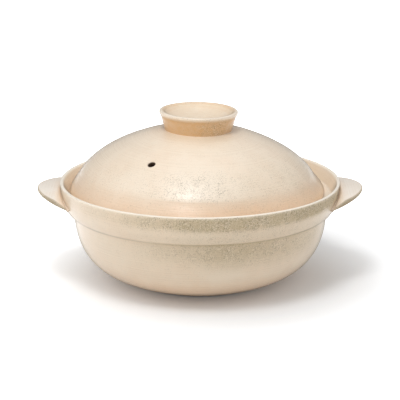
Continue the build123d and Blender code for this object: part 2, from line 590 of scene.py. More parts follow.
def new_group(
    name: str, inputs: dict[str, object], outputs: dict[str, str],
) -> tuple[Graph, bpy.types.Node, bpy.types.Node]:
    """Makes an empty shader node group with named sockets.

    Args:
        name: The group's name.
        inputs: A default for each input: a number, a colour of four numbers, or None for a vector.
        outputs: The socket type of each output.

    Returns:
        The group's graph, its input node and its output node.
    """
    tree = bpy.data.node_groups.new(name, "ShaderNodeTree")
    for label, default in inputs.items():
        kind = "NodeSocketVector" if default is None else "NodeSocketFloat"
        if isinstance(default, tuple):
            kind = "NodeSocketColor"
        socket = tree.interface.new_socket(name=label, in_out="INPUT", socket_type=kind)
        if default is not None:
            socket.default_value = default
    for label, kind in outputs.items():
        tree.interface.new_socket(name=label, in_out="OUTPUT", socket_type=kind)
    graph = Graph(tree)
    return graph, graph.add("NodeGroupInput"), graph.add("NodeGroupOutput")


class GlazeEffects:
    """The shared effects of the glaze, each a node group that is built once.

    A noise is named with its waves in a metre, its detail and its roughness.
    """

    CLOUD = (26.0, 3.0, 0.55)
    SPOTS = (240.0, 4.0, 0.65)
    SPOT_SHARE = 0.7
    CLOUD_MIDDLE = 0.85
    ASH_CLOUDING = 2.5
    CLUMPS = (150.0, 2.0, 0.6)
    CLUMP_RANGE = (0.35, 0.62, 0.55, 1.25)
    FINE_DETAIL = (3.0, 0.65)
    GRAIN_SHIFT = 0.17
    PIT_RANGE = (0.38, 0.27)
    BEAD_RANGE = (0.64, 0.78)
    SPECK_CHANCE = (0.35, 1.0)
    SPECK_REACH = 0.5
    SPECK_EDGE = (-0.02, 0.10)
    LEAST_RELIEF = 0.2
    SWAY = (14.0, 1.0, 0.5)
    LINE_DETAIL = 3.0
    LINE_ROUGHNESS = 0.65
    LINE_RANGE = (0.36, 0.64)
    BREAKS = (60.0, 2.0, 0.6)
    BREAK_RANGE = (0.40, 0.60, 0.25, 1.0)

    def __init__(self) -> None:
        """Builds the three groups."""
        self.drift = self._drift()
        self.grain = self._grain()
        self.rings = self._rings()

    def _drift(self) -> bpy.types.NodeTree:
        """Builds the group that lays cream, blush and ash over each other in soft drifts.

        Returns:
            The group's tree.
        """
        white = (1.0, 1.0, 1.0, 1.0)
        inputs = {
            "Place": None, "Cream": white, "Blush": white, "Ash": white,
            "Blush Amount": 0.0, "Ash Amount": 0.0, "Mottle": 0.5,
        }
        outputs = {"Color": "NodeSocketColor", "Ash Mask": "NodeSocketFloat"}
        graph, given, made = new_group("Glaze drift", inputs, outputs)
        broad = graph.noise(given.outputs["Place"], *self.CLOUD)
        fine = graph.math("MULTIPLY", graph.noise(given.outputs["Place"], *self.SPOTS), self.SPOT_SHARE)
        cloud = graph.math("SUBTRACT", graph.math("ADD", broad, fine), self.CLOUD_MIDDLE)
        cloud = graph.math("MULTIPLY", cloud, given.outputs["Mottle"])
        blush = graph.math("SUBTRACT", given.outputs["Blush Amount"], cloud, clamp=True)
        clouding = graph.math("MULTIPLY", given.outputs["Ash Amount"], self.ASH_CLOUDING)
        ash_cloud = graph.math("MULTIPLY", cloud, clouding)
        ash = graph.math("ADD", given.outputs["Ash Amount"], ash_cloud, clamp=True)
        warm = graph.mix(blush, given.outputs["Cream"], given.outputs["Blush"])
        graph.feed(made, Color=graph.mix(ash, warm, given.outputs["Ash"]), Ash_Mask=ash)
        return graph.tree

    def _grain(self) -> bpy.types.NodeTree:
        """Builds the group that breaks a glaze into dark pits, pale beads, specks and a fine crawl.

        Returns:
            The group's tree.
        """
        grey = (0.5, 0.5, 0.5, 1.0)
        inputs = {
            "Place": None, "Color": grey, "Pit Color": grey, "Bead Color": grey,
            "Amount": 0.0, "Scale": 900.0, "Depth": 0.6, "Speck Scale": 520.0, "Speck Depth": 0.6,
        }
        outputs = {"Color": "NodeSocketColor", "Height": "NodeSocketFloat", "Pits": "NodeSocketFloat"}
        graph, given, made = new_group("Glaze grain", inputs, outputs)
        place = given.outputs["Place"]
        clumps = graph.ramp(graph.noise(place, *self.CLUMPS), *self.CLUMP_RANGE)
        amount = graph.math("MULTIPLY", given.outputs["Amount"], clumps)
        fine = graph.noise(place, given.outputs["Scale"], *self.FINE_DETAIL)
        shift = graph.math("MULTIPLY", amount, self.GRAIN_SHIFT)
        pits = graph.ramp(graph.math("SUBTRACT", fine, shift), *self.PIT_RANGE)
        beads = graph.ramp(graph.math("ADD", fine, shift), *self.BEAD_RANGE)
        dark = graph.math("MULTIPLY", pits, given.outputs["Depth"])
        pale = graph.math("MULTIPLY", beads, given.outputs["Depth"])
        colour = graph.mix(dark, given.outputs["Color"], given.outputs["Pit Color"])
        colour = graph.mix(pale, colour, given.outputs["Bead Color"])
        cells = graph.add("ShaderNodeTexVoronoi", feature="F1")
        graph.feed(cells, Vector=place, Scale=given.outputs["Speck Scale"], Randomness=1.0)
        chance = graph.feed(graph.add("ShaderNodeSeparateColor"), Color=cells.outputs["Color"]).outputs[0]
        widest = graph.math("MULTIPLY", amount, self.SPECK_REACH)
        reach = graph.math("MULTIPLY", graph.ramp(chance, *self.SPECK_CHANCE), widest)
        inside = graph.math("SUBTRACT", reach, cells.outputs["Distance"])
        specks = graph.math("MULTIPLY", graph.ramp(inside, *self.SPECK_EDGE), given.outputs["Speck Depth"])
        colour = graph.mix(specks, colour, given.outputs["Pit Color"])
        height = graph.math("MULTIPLY", fine, graph.math("ADD", self.LEAST_RELIEF, amount))
        graph.feed(made, Color=colour, Height=height, Pits=pits)
        return graph.tree

    def _rings(self) -> bpy.types.NodeTree:
        """Builds the group that draws fine throwing rings along a form's outline.

        Returns:
            The group's tree.
        """
        inputs = {"Place": None, "Run": 0.0, "Pace": 900.0, "Wander": 0.6}
        outputs = {"Height": "NodeSocketFloat", "Shade": "NodeSocketFloat"}
        graph, given, made = new_group("Throwing rings", inputs, outputs)
        sway = graph.noise(given.outputs["Place"], *self.SWAY)
        run = graph.math("MULTIPLY", given.outputs["Run"], given.outputs["Pace"])
        run = graph.math("ADD", run, graph.math("MULTIPLY", sway, given.outputs["Wander"]))
        rings = graph.add("ShaderNodeTexNoise", noise_dimensions="1D")
        graph.feed(rings, W=run, Scale=1.0, Detail=self.LINE_DETAIL, Roughness=self.LINE_ROUGHNESS)
        lines = graph.ramp(rings.outputs["Fac"], *self.LINE_RANGE)
        broken = graph.ramp(graph.noise(given.outputs["Place"], *self.BREAKS), *self.BREAK_RANGE)
        shade = graph.math("MULTIPLY", lines, broken)
        graph.feed(made, Height=rings.outputs["Fac"], Shade=shade)
        return graph.tree


@dataclass(frozen=True)
class GlazeFinish:
    """One fired finish of the satin ash glaze."""

    name: str
    cream: Colour = srgb(242, 224, 199)
    blush: Colour = srgb(242, 205, 168)
    ash: Colour = srgb(202, 184, 151)
    # The pale colour paints highlights on lips and on the lid's front belt, and a paler glaze elsewhere.
    pale: Colour = srgb(255, 246, 231)
    pit: Colour = srgb(126, 106, 78)
    bead: Colour = srgb(250, 238, 216)
    streak: Colour = srgb(208, 178, 142)
    clay: Colour = srgb(132, 100, 74)
    # Painted shade: the dark colour mixed in where a surface is seen edge on, as a shaded outline.
    edge: Colour = srgb(120, 108, 88)
    edge_on_painted_shade: float = 0.75
    roughness: float = 0.44
    coat: float = 0.8
    coat_roughness: float = 0.24
    mottle: float = 0.6
    grain_scale: float = 1050.0
    grain_depth: float = 0.3
    speck_scale: float = 760.0
    speck_depth: float = 0.42
    grain_relief: float = 0.00010
    ring_pace: float = 900.0
    ring_shade: float = 0.22
    ring_relief: float = 0.00012
    ash_dryness: float = 0.8
    pit_dryness: float = 0.5
    dry_roughness: float = 0.8
    edge_from: float = 0.78
    edge_full: float = 0.97

    def material(self, effects: GlazeEffects) -> bpy.types.Material:
        """Builds the material.

        Args:
            effects: The shared node groups.

        Returns:
            The new material.
        """
        material = bpy.data.materials.new(self.name)
        material.use_nodes = True
        material.node_tree.nodes.clear()
        graph = Graph(material.node_tree)
        place = graph.add("ShaderNodeTexCoord").outputs["Object"]
        layers = {
            layer: graph.add("ShaderNodeAttribute", attribute_name=layer).outputs["Fac"]
            for layer in LAYERS
        }
        drift = self._placed(graph, effects.drift)
        graph.feed(
            drift, Place=place, Cream=(*self.cream, 1), Blush=(*self.blush, 1), Ash=(*self.ash, 1),
            Blush_Amount=layers["blush"], Ash_Amount=layers["ash"], Mottle=self.mottle,
        )
        rings = self._placed(graph, effects.rings)
        graph.feed(rings, Place=place, Run=layers["run"], Pace=self.ring_pace)
        streaks = graph.math("MULTIPLY", rings.outputs["Shade"], self.ring_shade)
        shaded = graph.mix(streaks, drift.outputs["Color"], (*self.streak, 1))
        shaded = graph.mix(layers["pale"], shaded, (*self.pale, 1))
        grain = self._placed(graph, effects.grain)
        graph.feed(
            grain, Place=place, Color=shaded, Pit_Color=(*self.pit, 1), Bead_Color=(*self.bead, 1),
            Amount=layers["grain"], Scale=self.grain_scale, Depth=self.grain_depth,
            Speck_Scale=self.speck_scale, Speck_Depth=self.speck_depth,
        )
        # The clay colour goes on unglazed clay and on the marks of painted shade that share its layer.
        colour = graph.mix(layers["bare_and_shade"], grain.outputs["Color"], (*self.clay, 1))
        normal = self._relief(graph, rings.outputs["Height"], self.ring_relief, None)
        normal = self._relief(graph, grain.outputs["Height"], self.grain_relief, normal)
        dry_ash = graph.math("MULTIPLY", drift.outputs["Ash Mask"], self.ash_dryness)
        dry_pits = graph.math("MULTIPLY", grain.outputs["Pits"], self.pit_dryness)
        dry = graph.math("MAXIMUM", graph.math("MAXIMUM", dry_ash, layers["bare_and_shade"]), dry_pits)
        surface = self._surface(graph, colour, dry, normal)
        graph.feed(graph.add("ShaderNodeOutputMaterial"), Surface=surface)
        return material

    def _surface(self, graph: Graph, colour: Socket, dry: Socket, normal: Socket) -> Socket:
        """Builds the fired surface, with painted shade that darkens its colour where it is seen edge on,
        and a duller coat there.

        Args:
            graph: The material's graph.
            colour: The glaze's colour.
            dry: How dry the glaze is, from 0 to 1.
            normal: The relief's normal.

        Returns:
            The shader.
        """
        rough = graph.ramp(dry, 0.0, 1.0, self.roughness, self.dry_roughness)
        facing = graph.add("ShaderNodeLayerWeight").outputs["Facing"]
        edge = graph.ramp(facing, self.edge_from, self.edge_full)
        # Painted shade: the colour darkens where the surface turns edge on to the view.
        colour = graph.mix(graph.math("MULTIPLY", edge, self.edge_on_painted_shade), colour, (*self.edge, 1))
        coat = graph.ramp(graph.math("MAXIMUM", dry, edge), 0.0, 1.0, self.coat, 0.0)
        shader = graph.add("ShaderNodeBsdfPrincipled")
        graph.feed(
            shader, Base_Color=colour, Roughness=rough, Normal=normal, Coat_Weight=coat,
            Coat_Roughness=self.coat_roughness, Coat_Normal=normal,
        )
        return shader.outputs[0]

    @staticmethod
    def _placed(graph: Graph, group: bpy.types.NodeTree) -> bpy.types.Node:
        """Places a shared group in a material.

        Args:
            graph: The material's graph.
            group: The shared group.

        Returns:
            The group's node.
        """
        node = graph.add("ShaderNodeGroup")
        node.node_tree = group
        return node

    @staticmethod
    def _relief(graph: Graph, height: Socket, depth: float, under: Socket | None) -> Socket:
        """Adds a bump of a real depth over another.

        Args:
            graph: The material's graph.
            height: The relief, from 0 to 1.
            depth: How deep the relief is, in metres.
            under: The normal that it is added to, or None.

        Returns:
            The new normal.
        """
        bump = graph.add("ShaderNodeBump")
        graph.feed(bump, Strength=1.0, Distance=depth, Height=height)
        if under is not None:
            graph.feed(bump, Normal=under)
        return bump.outputs["Normal"]


@dataclass(frozen=True)
class Dusting:
    """How much of a layer lies on a band all round, and how much more at the front and the right."""

    around: float
    front: float
    right: float = 0.0

    def on(self, front: np.ndarray, right: np.ndarray) -> np.ndarray:
        """Returns the amount at each vertex, from how far to the front and the right it is."""
        return self.around + self.front * front + self.right * right


@dataclass
class PotBody:
    """The bowl: flat foot, round belly, proud collar, and the ledge inside the flared lip."""

    finish: bpy.types.Material
    foot_radius: float = 0.0613
    foot_round: float = 0.0016
    collar_height: float = 0.0253
    collar_taper: float = 0.0062
    ridge_depth: float = 0.0053
    ridge_drop: float = 0.0064
    wall: float = 0.0076
    floor: float = 0.009
    lip: float = 0.003
    ledge_wall: float = 0.008
    ledge_depth: float = 0.0122
    unevenness: float = 0.00022
    lip_rise: float = 0.0012
    least_rise_share: float = 0.25
    mouth_oval: float = 0.0065
    oval_from_share: float = 0.6
    # The curves of the section and its soft corners.
    belly_leave: Handle = (22, 0.39)
    belly_arrive: Handle = (86, 0.79)
    ridge_leave: Handle = (90, 0.45)
    ridge_arrive: Handle = (22, 0.45)
    ridge_soft: float = 0.0011
    collar_leave: Handle = (50, 0.19)
    collar_arrive: Handle = (90, 0.55)
    lip_soft: float = 0.0013
    seat_soft: float = 0.0015
    ledge_soft: float = 0.002
    flat_floor_share: float = 0.85
    inside_leave: Handle = (267, 0.95)
    inside_arrive: Handle = (180, 0.19)
    # The mesh, and how high above the table the waver starts and is full.
    ring_step: float = 0.0016
    sides: int = 224
    still_foot: Span = (0.0004, 0.006)
    # The glaze: bearings in degrees, and distances from the lip, the collar's foot or the table.
    front_sweep: Span = (-74, 60)
    right_sweep: Span = (-45, 110)
    outside_fade: Span = (0.003, 0.001)
    band_fade: float = 0.0145
    band_full: float = 0.0075
    band_ash: Dusting = Dusting(0.14, 0.5, 0.58)
    band_grain: Dusting = Dusting(0.15, 0.5, 0.6)
    edge_fade: float = 0.002
    under_fade: float = 0.034
    under_full: float = 0.010
    under_edge: float = 0.001
    under_ash: Dusting = Dusting(0.04, 0.42, 0.36)
    under_grain: Dusting = Dusting(0.10, 0.42, 0.30)
    collar_ash: Dusting = Dusting(0.05, 0.12, 0.2)
    collar_grain: Dusting = Dusting(0.12, 0.2, 0.15)
    crease_below: float = 0.0015
    crease_reach: float = 0.0022
    crease_ash_and_shade: Dusting = Dusting(0.1, 0.3)
    rim_highlight_reach: float = 0.0036
    warm_foot: Span = (0.034, 0.010)
    inside_fade: Span = (0.001, 0.006)
    ridge_shade_below: float = 0.0004
    ridge_shade_reach: float = 0.0007
    bare_foot: Span = (0.0012, 0.0004)
    bare_share: float = 1.1
    rim_radius: float = field(init=False)
    height: float = field(init=False)

    def __post_init__(self) -> None:
        """Takes the rim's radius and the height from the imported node."""
        low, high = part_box("pot_body")
        self.rim_radius = (high.x - low.x) / 2 - self.unevenness / 10
        self.height = high.z

    def section(self) -> Section:
        """Draws the bowl's half section, from the foot's middle out and back to the floor's.

        Returns:
            The section.
        """
        collar_foot = (self.rim_radius - self.collar_taper, self.height - self.collar_height)
        bowl_top = (collar_foot[0] - self.ridge_depth, collar_foot[1] - self.ridge_drop)
        inner_wall = bowl_top[0] - self.wall
        ledge_z = self.height - self.ledge_depth
        ridge = hypot(collar_foot[0] - bowl_top[0], collar_foot[1] - bowl_top[1])
        section = Section((0, 0)).line(self.foot_radius, 0, soft=self.foot_round)
        section.bend(
            handle(self.belly_leave, bowl_top[0] - self.foot_radius), *bowl_top,
            handle(self.belly_arrive, bowl_top[1]),
        )
        section.bend(
            handle(self.ridge_leave, ridge), *collar_foot, handle(self.ridge_arrive, ridge),
            soft=self.ridge_soft,
        )
        section.bend(
            handle(self.collar_leave, self.collar_height), self.rim_radius, self.height,
            handle(self.collar_arrive, self.collar_height), soft=self.lip_soft,
        )
        section.line(self.rim_radius - self.lip, self.height, soft=self.lip_soft)
        section.line(self.rim_radius - self.ledge_wall, ledge_z, soft=self.seat_soft)
        section.line(inner_wall, ledge_z, soft=self.ledge_soft)
        section.line(inner_wall, bowl_top[1])
        floor_edge = self.flat_floor_share * self.foot_radius
        section.bend(
            handle(self.inside_leave, bowl_top[1] - self.floor), floor_edge, self.floor,
            handle(self.inside_arrive, inner_wall - floor_edge),
        )
        return section.line(0, self.floor)

    def build(self) -> bpy.types.Object:
        """Makes, wavers and glazes the bowl.

        Returns:
            The bowl's piece.
        """
        form = ThrownSurface("donabe_bowl", self.section(), 0.0, self.ring_step, self.sides)
        places = form.places()
        self._glaze(form, places)
        free = smooth(*self.still_foot, places.height)
        depth = self.unevenness * thrown_depth(11, 7, 12.0, places) * free
        move_vertices(form.piece, self._as_thrown(form.moved(places, depth)))
        form.piece.data.materials.append(self.finish)
        seat(form.piece, "pot_body", "pot")
        return form.piece

    def _as_thrown(self, points: np.ndarray) -> np.ndarray:
        """Draws the lip up at the front and makes the mouth slightly oval along X.

        Args:
            points: The bowl's vertices.

        Returns:
            The moved vertices.
        """
        moved = points.copy()
        z = points[:, 2]
        forwards = np.clip(-points[:, 1] / self.rim_radius, 0, 1)
        front = self.least_rise_share + (1 - self.least_rise_share) * forwards
        moved[:, 2] += self.lip_rise * front * smooth(self.height - self.ledge_depth, self.height, z)
        moved[:, 0] *= 1 + self.mouth_oval * smooth(self.oval_from_share * self.height, self.height, z)
        return moved

    def _glaze(self, form: ThrownSurface, places: Places) -> None:
        """Paints where ash settled, where the glaze blushed, where the clay is unglazed, a painted
        highlight on the lip's top and painted shade at the collar's foot.

        Args:
            form: The bowl's surface.
            places: Where its vertices lie.
        """
        lip_run = form.run_at(self.rim_radius, self.height)
        outside = smooth(lip_run + self.outside_fade[0], lip_run + self.outside_fade[1], places.run)
        z, bearing = places.height, places.bearing
        right = bearing_hump(*self.right_sweep, bearing)
        front = bearing_hump(*self.front_sweep, bearing)
        # Painted highlight: the lip's top is drawn paler, as the bright line the light draws along it.
        rim = hump(lip_run + self.lip / 2, self.rim_highlight_reach, places.run)
        collar_foot = self.height - self.collar_height
        below_lip = smooth(self.height, self.height - self.edge_fade, z)
        band = smooth(self.height - self.band_fade, self.height - self.band_full, z) * below_lip
        # Ash and painted shade along the crease under the collar's foot, where the overhang shades it.
        crease = hump(collar_foot - self.crease_below, self.crease_reach, z)
        under = smooth(collar_foot - self.under_fade, collar_foot - self.under_full, z)
        under = under * smooth(collar_foot + self.under_edge, collar_foot, z)
        collar = smooth(collar_foot, collar_foot + self.edge_fade, z) * below_lip
        ash = band * self.band_ash.on(front, right) + under * self.under_ash.on(front, right)
        ash = ash + collar * self.collar_ash.on(front, right) + crease * self.crease_ash_and_shade.on(front, right)
        grain = band * self.band_grain.on(front, right) + under * self.under_grain.on(front, right)
        grain = grain + collar * self.collar_grain.on(front, right)
        blush_out = 0.12 + 0.55 * smooth(*self.warm_foot, z)
        blush_in = 0.04 * smooth(self.height - self.inside_fade[0], self.height - self.inside_fade[1], z)
        paint(form.piece, "ash", np.clip(ash * outside, 0, 1) * (1 - rim))
        paint(form.piece, "grain", np.clip(0.04 + grain * outside, 0, 1) * (1 - 0.7 * rim))
        paint(form.piece, "blush", blush_out * outside + blush_in * (1 - outside))
        # The pale layer holds the painted highlight on the lip's top and a paler glaze inside.
        paint(form.piece, "pale", np.clip(1.3 * rim + 0.3 * (1 - outside), 0, 0.95))
        # Painted shade: a thin dark line at the front, just under the collar's foot, where its overhang
        # shades the wall.
        ridge_painted_shade = 0.35 * front * hump(collar_foot - self.ridge_shade_below, self.ridge_shade_reach, z) * outside
        bare_foot = smooth(*self.bare_foot, z) * (places.radius < self.foot_radius * self.bare_share)
        paint(form.piece, "bare_and_shade", np.clip(bare_foot + ridge_painted_shade, 0, 1))
        paint(form.piece, "run", places.run)


@dataclass
class Ear:
    """A half-moon ear, luted on under the lip, thin at its edge and deep at its root."""

    side: Side
    finish: bpy.types.Material
    pot: PotBody
    plan_radius: float = 0.0533
    drop: float = 0.0061
    edge: float = 0.0021
    edge_round: float = 0.00095
    arch_radius: float = 0.338
    dip: float = 0.0011
    dip_angle: float = radians(26)
    dip_blend: float = 0.0012
    under_slope: float = tan(radians(15.3))
    root_reach: float = 0.0175
    root_slope: float = tan(radians(42))
    root_depth: float = 0.013
    root_arch_radius: float = 0.1
    thinnest: float = 0.0009
    sunk: float = 0.005
    groove_depth: float = 0.0013
    groove_width: float = 0.0019
    blend_lift_share: float = 0.125
    # The mesh.
    columns: int = 120
    rows: int = 34
    crowding: float = 1.25
    edge_rows: int = 6
    closing_share: float = 0.98
    weld: float = 0.00002
    # The glaze.
    underside_fade: float = 0.002
    edge_ash_and_shade: Span = (0.0016, 0.0006)
    front_fade: Span = (0.01, -0.02)
    root_blush_reach: float = 0.01
    tip_inset: float = 0.0001
    tip: float = field(init=False)
    top_z: float = field(init=False)

    def __post_init__(self) -> None:
        """Takes the ear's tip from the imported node."""
        low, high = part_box(self.node)
        self.tip = max(abs(low.x), abs(high.x)) - self.tip_inset
        self.top_z = self.pot.height - self.drop

    @property
    def node(self) -> str:
        """The CAD node that this ear stands for."""
        return "left_handle" if self.side is Side.LEFT else "right_handle"

    def _top(self, x: np.ndarray, y: np.ndarray) -> np.ndarray:
        """Works out the ear's upper face, which arches and dips at the wall.

        Args:
            x: The places' distances from the pot's middle along the ear.
            y: Their distances across it.

        Returns:
            The face's height at each place.
        """
        wall = np.sqrt(np.maximum(self.pot.rim_radius ** 2 - y ** 2, 0))
        groove = self.groove_depth * hump(0, self.groove_width, x - wall)
        level = self.top_z - y ** 2 / (2 * self.arch_radius)
        fall = tan(self.dip_angle) * (x - self.pot.rim_radius)
        dipped = self.top_z - self.dip + fall - y ** 2 / (2 * self.arch_radius * cos(self.dip_angle))
        lower = (level + dipped) / 2 - np.sqrt((level - dipped) ** 2 + self.dip_blend ** 2) / 2
        return lower + self.blend_lift_share * self.dip_blend - groove

    def _bottom(self, x: np.ndarray, y: np.ndarray) -> np.ndarray:
        """Works out the ear's underside, which is deeper at its root in the middle of the wall.

        Args:
            x: The places' distances from the pot's middle along the ear.
            y: Their distances across it.

        Returns:
            The underside's height at each place.
        """
        out = self.tip - x
        leaf = self.top_z - self.edge - self.under_slope * out
        root = leaf - (self.root_slope - self.under_slope) * (out - self.root_reach)
        cradle = self.top_z - self.root_depth + y ** 2 / (2 * self.root_arch_radius)
        low = np.minimum(leaf, np.maximum(root, cradle))
        return np.minimum(low, self._top(x, y) - self.thinnest)

    def build(self) -> bpy.types.Object:
        """Makes the ear as sections that fan out from its plan's centre.

        Returns:
            The ear's piece.
        """
        centre = self.tip - self.plan_radius
        reach = self.pot.rim_radius
        meet_x = (reach ** 2 - self.plan_radius ** 2 + centre ** 2) / (2 * centre)
        widest = np.arccos((meet_x - centre) / self.plan_radius)
        turn = np.linspace(-widest, widest, self.columns)[:, None]
        inner = reach - self.sunk
        start = -centre * np.cos(turn) + np.sqrt(inner ** 2 - (centre * np.sin(turn)) ** 2)
        end = np.full_like(turn, self.plan_radius)
        share = 1 - (1 - np.linspace(0, 1, self.rows)[None, :]) ** self.crowding
        far = start + (end - self.edge_round - start) * share
        curl = np.linspace(0, pi / 2, self.edge_rows)[None, 1:]
        rim = end - self.edge_round + self.edge_round * np.sin(curl)
        upper_reach = np.concatenate((far, rim), axis=1)
        rounded = self.edge_round * (1 - np.cos(curl)) * np.ones_like(turn)
        fall = np.concatenate((np.zeros_like(far), rounded), axis=1)
        x = centre + upper_reach * np.cos(turn)
        y = upper_reach * np.sin(turn)
        top, bottom = self._top(x, y), self._bottom(x, y)
        fall = np.minimum(fall, (top - bottom) / 2 * self.closing_share)
        upper, lower = top - fall, bottom + fall
        rows = np.concatenate((np.stack((x, y, upper), 2), np.stack((x, y, lower), 2)[:, ::-1]), axis=1)
        piece = self._skinned(rows)
        self._glaze(piece)
        piece.data.materials.append(self.finish)
        seat(piece, self.node, "pot")
        return piece

    def _skinned(self, rows: np.ndarray) -> bpy.types.Object:
        """Makes a closed mesh from sections.

        Args:
            rows: The sections' points, one closed loop in each row.

        Returns:
            The new object.
        """
        count, around = rows.shape[:2]
        points = rows.reshape(-1, 3).copy()
        points[:, 0] *= self.side.value
        faces = joined_rings(count, around)
        faces += [tuple(range(around)), tuple(range((count - 1) * around, count * around))]
        name = f"donabe_ear_{self.side.name.lower()}"
        mesh = closed_mesh(name, points.tolist(), faces, self.weld)
        mesh.shade_smooth()
        return _placed(name, mesh)

    def _glaze(self, piece: bpy.types.Object) -> None:
        """Paints ash along the ear's edge, with more at the front as painted shade, painted shade on its
        underside, a paler top as painted light, and blush over its root.

        Args:
            piece: The ear's piece.
        """
        points = vertex_points(piece)
        x, y = np.abs(points[:, 0]), points[:, 1]
        wall = np.sqrt(np.maximum(self.pot.rim_radius ** 2 - y ** 2, 0))
        # Painted shade: the underside is drawn darker in ash, and the top paler as painted light.
        below = smooth(0.0, -self.underside_fade, points[:, 2] - self._top(x, y))
        centre = self.tip - self.plan_radius
        edge = smooth(*self.edge_ash_and_shade, self.plan_radius - np.hypot(x - centre, y))
        # Painted shade: the front of the edge carries more dark ash, as the shaded line along it.
        front = smooth(*self.front_fade, y)
        paint(piece, "ash", np.clip(0.04 + 0.6 * below + edge * (0.5 + 0.5 * front), 0, 1))
        paint(piece, "blush", 0.10 + 0.3 * hump(0, self.root_blush_reach, x - wall))
        paint(piece, "pale", 0.25 * (1 - below))
        paint(piece, "grain", 0.08 + 0.3 * below + 0.2 * edge * front)
        paint(piece, "bare_and_shade", points[:, 0] * 0)
        paint(piece, "run", x)


